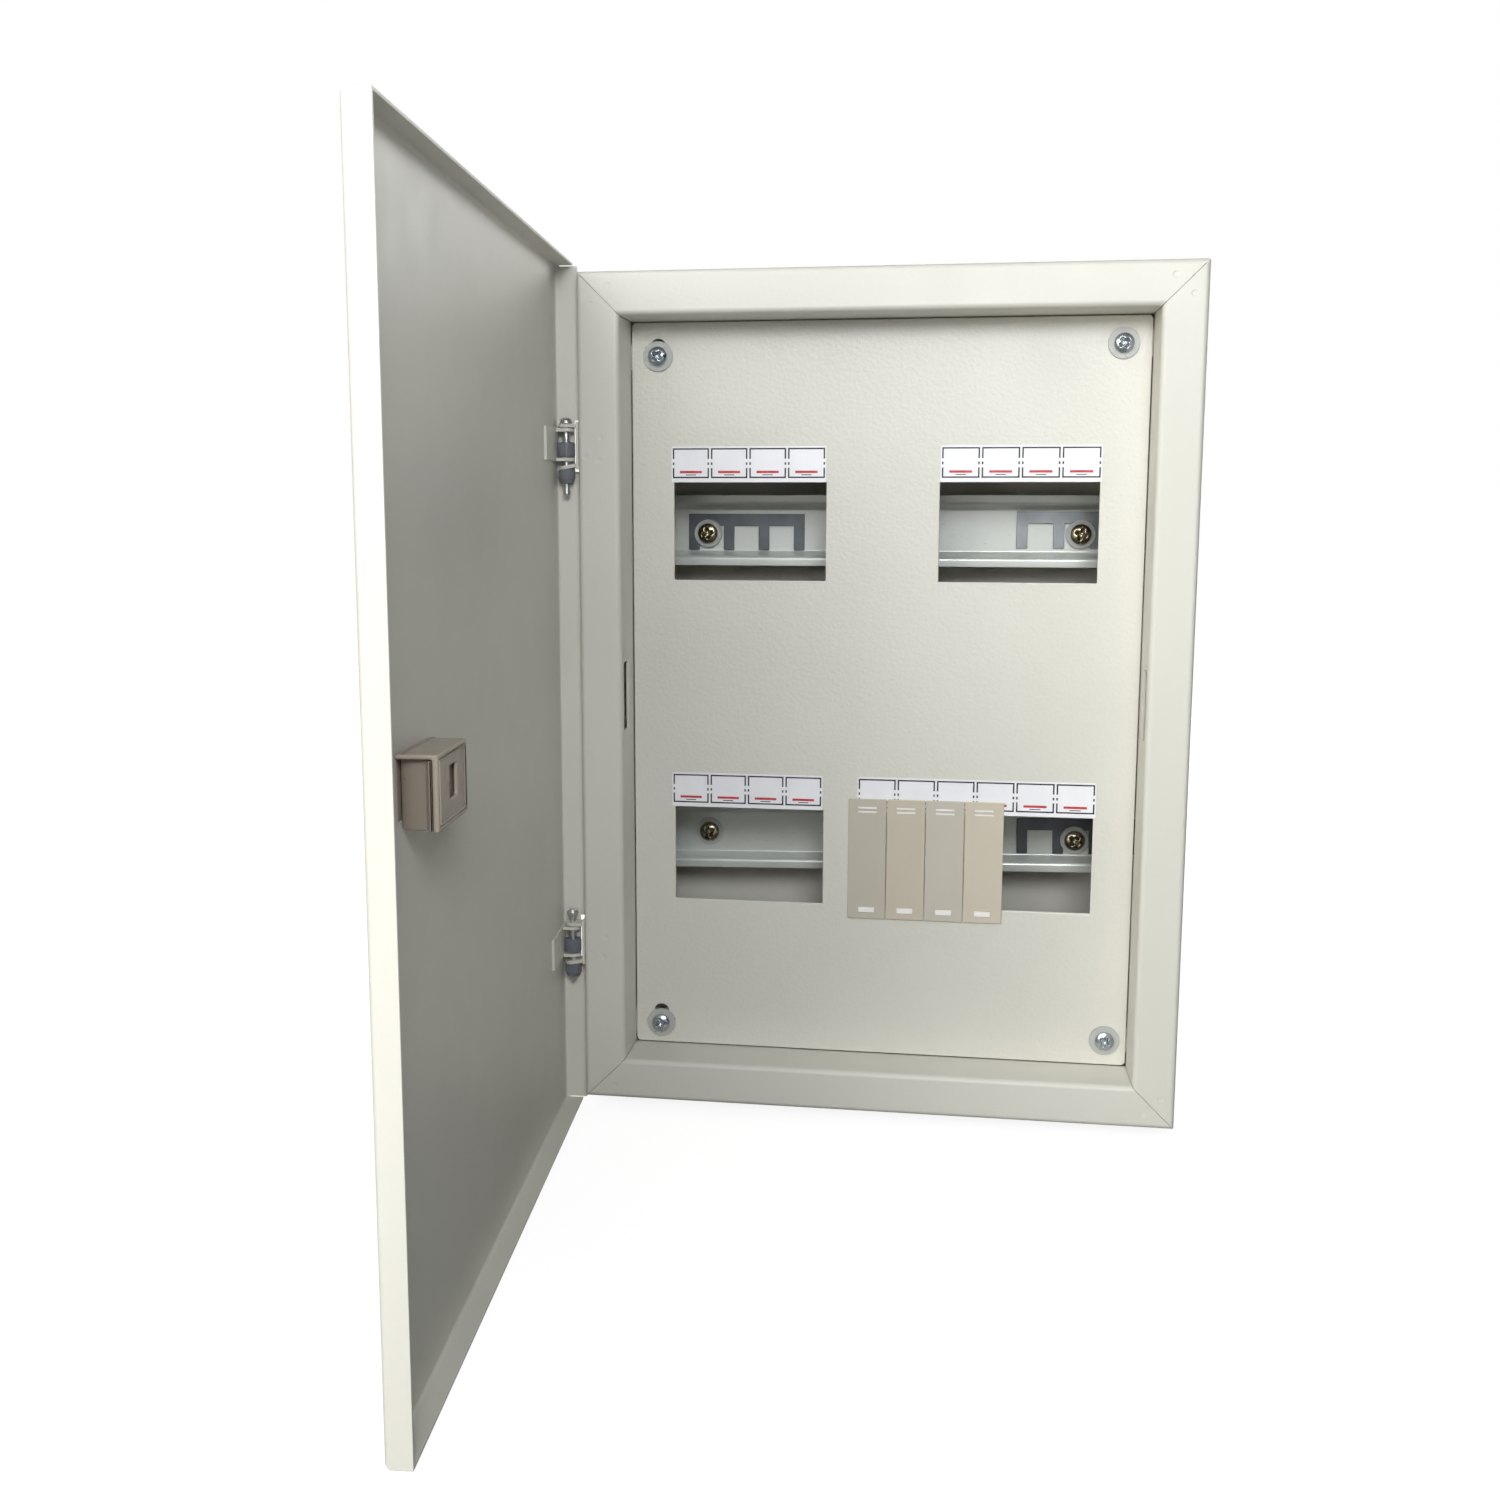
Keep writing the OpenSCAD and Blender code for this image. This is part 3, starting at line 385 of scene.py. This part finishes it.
def label_print(number, count):
    """One row of boxes with dashed sides, each with a red rule above a short black one."""
    lo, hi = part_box(f"label_strip_{number}")
    lines, rules = bmesh.new(), bmesh.new()
    pitch = (hi.x - lo.x - 2 * STRIP_EDGE) / count
    wide = pitch - BOX_GAP
    top = hi.z - BOX_DROP
    foot = top - BOX_TALL

    def stroke(bm, x0, x1, z0, z1):
        block(bm, (x0, lo.y - INK_T, z0), (x1, lo.y - INK_LIFT, z1))

    def rule(bm, inset, z0, z1):
        stroke(bm, x0 + inset * MM, x1 - inset * MM, foot + z0 * MM, foot + z1 * MM)

    for i in range(count):
        x0 = lo.x + STRIP_EDGE + i * pitch + (pitch - wide) / 2
        x1 = x0 + wide
        for z in (top, foot + BOX_LINE):
            stroke(lines, x0, x1, z - BOX_LINE, z)
        for x in (x0, x1 - BOX_LINE):
            for a, b in SIDE_DASHES:
                low = max(foot + BOX_LINE, top - b * BOX_TALL)
                stroke(lines, x, x + BOX_LINE, low, min(top - BOX_LINE, top - a * BOX_TALL))
        rule(rules, 3.4, 2.3, 3.4)
        rule(lines, 6.2, 1.3, 1.7)
    finished(f"label_boxes_{number}", lines, BLACK_INK, "box")
    finished(f"label_rules_{number}", rules, RED_INK, "box")


for number, count in ((1, 4), (2, 4), (3, 4), (4, 6)):
    label_print(number, count)


# ---- blanks: pale inner tabs that show through the slots ----------------------

TAB_PLASTIC = moulded("blank_tab_plastic", srgb(250, 248, 244), 0.4, 1100, 0.05, 0.02)
TAB_SUNK = 0.12 * MM
TAB_THICK = 0.35 * MM
TAB_CROWN = 0.10 * MM
TAB_COLS, TAB_ROWS = 8, 4


def tab(bm, centre, wide, tall):
    """A low crowned tab, highest at its centre, with a flat back."""
    grid = {}
    for i in range(TAB_COLS + 1):
        for j in range(TAB_ROWS + 1):
            a = 2 * i / TAB_COLS - 1
            b = 2 * j / TAB_ROWS - 1
            fall = TAB_CROWN * (a * a + b * b) / 2
            grid[i, j] = bm.verts.new(centre + Vector((a * wide / 2, fall, b * tall / 2)))
    for i in range(TAB_COLS):
        for j in range(TAB_ROWS):
            bm.faces.new((grid[i, j], grid[i + 1, j], grid[i + 1, j + 1], grid[i, j + 1]))
    border = [grid[i, 0] for i in range(TAB_COLS)]
    border += [grid[TAB_COLS, j] for j in range(TAB_ROWS)]
    border += [grid[i, TAB_ROWS] for i in range(TAB_COLS, 0, -1)]
    border += [grid[0, j] for j in range(TAB_ROWS, 0, -1)]
    back = [bm.verts.new((v.co.x, centre.y + TAB_THICK, v.co.z)) for v in border]
    for k in range(len(border)):
        bm.faces.new((border[k - 1], border[k], back[k], back[k - 1]))
    bm.faces.new(back)


def blank_tabs():
    """Three tabs in each blank: two narrow ones near its top and a wider one near its foot."""
    bm = bmesh.new()
    for number in BLANKS:
        lo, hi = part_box(f"blank_plate_{number}")
        mid, face = (lo.x + hi.x) / 2, lo.y + TAB_SUNK
        for z in (hi.z - 4.3 * MM, hi.z - 6.3 * MM):
            tab(bm, Vector((mid, face, z)), 8.7 * MM, 0.8 * MM)
        tab(bm, Vector((mid, face, lo.z + 4.4 * MM)), 7.5 * MM, 2.5 * MM)
    finished("blank_tabs", bm, TAB_PLASTIC, "box")


blank_tabs()


# ---- screws: domed heads with a tapered cross recess ---------------------------

RING_STEPS = 26
SCREW_SIDES = 72
SHANK_R = 1.9 * MM
POINT_LEN = 0.8 * MM
SKIRT = 1.02            # the head's widest ring, next to its dome's radius
CROSS_REACH = 0.66      # the recess's arms, as shares of the head's radius
CROSS_HALF = 0.20
CROSS_TAPER = 0.09
CROSS_WALL = 0.10


def cross_recess(u, v, radius):
    """Depth of the recess, 0 to 1, at a place on the head."""
    deep = 0.0
    for a, b in ((u, v), (v, u)):
        reach = abs(a) / (CROSS_REACH * radius)
        if reach >= 1:
            continue
        half = radius * (CROSS_HALF - CROSS_TAPER * reach)
        wall = 1 - min(1, max(0, (abs(b) - half) / (CROSS_WALL * radius)))
        deep = max(deep, (1 - reach ** 1.6) * wall)
    return deep


def screw(bm, place, radius, height, length, turn):
    """Domed pan head at the front of a plain shank, along +Y from its place."""
    outline = []
    for k in range(1, RING_STEPS + 1):
        share = k / RING_STEPS
        outline.append((radius * share, height * (1 - 0.42 * share ** 2.6)))
    outline += [(radius * SKIRT, 0.48 * height), (radius * SKIRT, 0.16 * height), (radius * 0.97, 0.0),
                (SHANK_R, 0.0), (SHANK_R, POINT_LEN - length), (SHANK_R * 0.55, -length)]

    def ring(r, front, recessed):
        made = []
        for i in range(SCREW_SIDES):
            a = 2 * math.pi * i / SCREW_SIDES
            sunk = 0
            if recessed:
                sunk = 0.74 * height * cross_recess(r * math.cos(a), r * math.sin(a), radius)
            spot = Vector((r * math.cos(a + turn), sunk - front, r * math.sin(a + turn)))
            made.append(bm.verts.new(place + spot))
        return made

    chain = [ring(r, front, front > 0) for r, front in outline]
    centre = bm.verts.new(place + Vector((0, -height * 0.26, 0)))
    for i in range(SCREW_SIDES):
        bm.faces.new((centre, chain[0][i], chain[0][(i + 1) % SCREW_SIDES]))
    for near, far in zip(chain, chain[1:]):
        for i in range(SCREW_SIDES):
            n = (i + 1) % SCREW_SIDES
            bm.faces.new((near[i], far[i], far[n], near[n]))
    bm.faces.new(chain[-1])


def solids(node):
    """Boxes of a node's separate solids."""
    bm = bmesh.new()
    bm.from_mesh(NODES[node].data)
    bmesh.ops.remove_doubles(bm, verts=bm.verts, dist=SAME_POINT)
    left = set(bm.verts)
    found = []
    while left:
        stack = [left.pop()]
        group = []
        while stack:
            vert = stack.pop()
            group.append(vert.co.copy())
            for edge in vert.link_edges:
                other = edge.other_vert(vert)
                if other in left:
                    left.remove(other)
                    stack.append(other)
        found.append((Vector([min(c[i] for c in group) for i in range(3)]),
                      Vector([max(c[i] for c in group) for i in range(3)])))
    bm.free()
    return sorted(found, key=lambda b: (round(b[0].z, 3), round(b[0].x, 3)))


def fit_screws(name, node, slot, head_h, turns):
    """Stands detailed screws in place of a node's plain ones."""
    bm = bmesh.new()
    for (lo, hi), turn in zip(solids(node), turns):
        radius = (hi.x - lo.x) / 2 / SKIRT
        place = Vector(((lo.x + hi.x) / 2, lo.y + head_h, (lo.z + hi.z) / 2))
        screw(bm, place, radius, head_h, hi.y - lo.y - head_h, math.radians(turn))
    for face in bm.faces:
        face.smooth = len(face.verts) < SCREW_SIDES
    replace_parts(finished(name, bm, FINISHES[slot], "box"), node)


fit_screws("cover_screw_set", "cover_screws", "zinc_steel", 2.7 * MM, (20, 65, 50, 35))
fit_screws("rail_screw_set", "rail_screws", "passivated_steel", 2.9 * MM, (28, 48, 12, 68))


# ---- hinges: moulded ribs on the sleeves and collars --------------------------

RIBS = 26
RIB_SHARE = 0.62        # of the way round that the ribs take up
RIB_PROUD = 0.16 * MM
RIB_TAPER = 0.3 * MM
RIB_SECTION = ((-1.0, -0.2), (-0.8, 0.55), (-0.3, 1.0), (0.3, 1.0), (0.8, 0.55), (1.0, -0.2))


def ribs(name, radius, foot, head):
    """Upright half-round ribs about both pins, between two heights of the lower hinge."""
    swing = next(j for j in frame["joints"] if j["name"] == "door_swing")
    axis = Vector((swing["pos_m"][0], swing["pos_m"][1], 0))
    width = math.pi * radius / RIBS * RIB_SHARE
    bm = bmesh.new()
    for lift in (0.0, HINGE_GAP):
        for i in range(RIBS):
            a = 2 * math.pi * i / RIBS
            out = Vector((math.cos(a), math.sin(a), 0))
            side = Vector((-out.y, out.x, 0))
            rings = []
            for z, proud in ((foot, 0.0), (foot + RIB_TAPER, 1.0), (head - RIB_TAPER, 1.0), (head, 0.0)):
                centre = axis + Vector((0, 0, z + lift))
                rings.append([bm.verts.new(centre + side * (across * width)
                                           + out * (radius + up * proud * RIB_PROUD))
                              for across, up in RIB_SECTION])
            for low, high in zip(rings, rings[1:]):
                for k in range(len(RIB_SECTION)):
                    n = (k + 1) % len(RIB_SECTION)
                    bm.faces.new((low[k], low[n], high[n], high[k]))
            bm.faces.new(rings[0][::-1])
            bm.faces.new(rings[-1])
    for face in bm.faces:
        face.smooth = True
    finished(name, bm, FINISHES["dark_plastic"], "box")


sleeve_lo, sleeve_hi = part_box("hinge_sleeves")
collar_lo, collar_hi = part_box("hinge_collars")
HINGE_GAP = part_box("hinge_leaf_upper")[0].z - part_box("hinge_leaf_lower")[0].z
SLEEVE_MARGIN = 0.4 * MM
ribs("sleeve_ribs", (sleeve_hi.x - sleeve_lo.x) / 2, sleeve_lo.z + SLEEVE_MARGIN,
     sleeve_hi.z - HINGE_GAP - SLEEVE_MARGIN)

COLLAR_TAPER = 0.14 * MM        # the collar is this much slimmer where its ribs stand
collar_top = collar_hi.z - HINGE_GAP
ribs("collar_ribs", (collar_hi.x - collar_lo.x) / 2 - COLLAR_TAPER,
     collar_top - 5.2 * MM, collar_top - 1.7 * MM)


# ---- stage, light and camera --------------------------------------------------

AIM = Vector((0, -0.12, 0))
WHITE = (1, 1, 1, 1)


def floor():
    """Grey floor that glows near white for the camera alone, brighter further out so no horizon shows."""
    bm = bmesh.new()
    bmesh.ops.create_grid(bm, x_segments=8, y_segments=8, size=9.0)
    mesh = bpy.data.meshes.new("floor")
    bm.to_mesh(mesh)
    bm.free()
    obj = bpy.data.objects.new("floor", mesh)
    obj.location = (0, 0, cad_lo.z - 0.5 * MM)
    bpy.context.scene.collection.objects.link(obj)
    f = Finish("floor_white", Roughness=0.9, Emission_Color=WHITE)
    out = f.node("VectorMath", {0: f.place}, operation="LENGTH").outputs["Value"]
    lift = f.spread(out, 0.25, 0.95, 0.88, 1.02)
    seen = f.node("LightPath").outputs["Is Camera Ray"]
    grey = f.blend(f.noise(2), scaled(WHITE, 0.21), scaled(WHITE, 0.23))
    mesh.materials.append(f.set(Base_Color=grey, Emission_Strength=f.maths("MULTIPLY", seen, lift)))


def softbox(name, azimuth, elevation, distance, size, watts, colour=(1, 1, 1)):
    """Round softbox aimed at the object; azimuth 0 is straight in front, positive to the right."""
    light = bpy.data.lights.new(name, "AREA")
    light.shape = "DISK"
    light.size = size
    light.energy = watts
    light.color = colour
    a, e = math.radians(azimuth), math.radians(elevation)
    away = Vector((math.sin(a) * math.cos(e), -math.cos(a) * math.cos(e), math.sin(e)))
    obj = bpy.data.objects.new(name, light)
    obj.location = AIM + away * distance
    obj.rotation_euler = (-away).to_track_quat("-Z", "Y").to_euler()
    obj.visible_camera = False
    bpy.context.scene.collection.objects.link(obj)


def world(seen, cast):
    """White world with one strength for the camera and another for the light that it casts."""
    made = bpy.data.worlds.new("studio")
    bpy.context.scene.world = made
    made.use_nodes = True
    tree = made.node_tree
    mix = tree.nodes.new("ShaderNodeMixShader")
    for back, strength, socket in ((tree.nodes["Background"], cast, 1),
                                   (tree.nodes.new("ShaderNodeBackground"), seen, 2)):
        back.inputs["Color"].default_value = WHITE
        back.inputs["Strength"].default_value = strength
        tree.links.new(back.outputs[0], mix.inputs[socket])
    path = tree.nodes.new("ShaderNodeLightPath")
    tree.links.new(path.outputs["Is Camera Ray"], mix.inputs[0])
    tree.links.new(mix.outputs[0], tree.nodes["World Output"].inputs["Surface"])


floor()
world(1.0, 0.03)
softbox("front", -5, 20, 1.6, 0.9, 4.7, (1.0, 0.965, 0.985))
softbox("key_left", -30, 20, 1.6, 0.9, 7.6, (1.0, 0.965, 1.0))
softbox("near_top", 10, 25, 0.95, 0.3, 3.7, (0.95, 0.985, 1.0))
softbox("low_left", -30, -5, 1.6, 0.6, 6.2, (1.0, 1.0, 0.81))
softbox("high_left", -30, 45, 1.6, 0.9, 6.5, (0.93, 1.0, 0.95))
softbox("low_right", 20, -5, 1.6, 0.6, 1.3, (1.0, 0.98, 0.9))
softbox("rear_right", 150, 20, 1.6, 0.9, 10.0)
softbox("rear_left", -150, 20, 1.6, 0.9, 7.0)

lens_36 = bpy.data.cameras.new("camera")
lens_36.lens = 36.0
lens_36.sensor_width = 36.0
lens_36.shift_x = 0.009
lens_36.shift_y = -0.0212
camera = bpy.data.objects.new("camera", lens_36)
camera.location = (0.03397, -0.77857, 0.08782)
camera.rotation_euler = Euler((math.pi / 2 - 0.13794, -0.00164, 0.14490))
bpy.context.scene.collection.objects.link(camera)
bpy.context.scene.camera = camera
bpy.context.scene.view_settings.view_transform = "Standard"
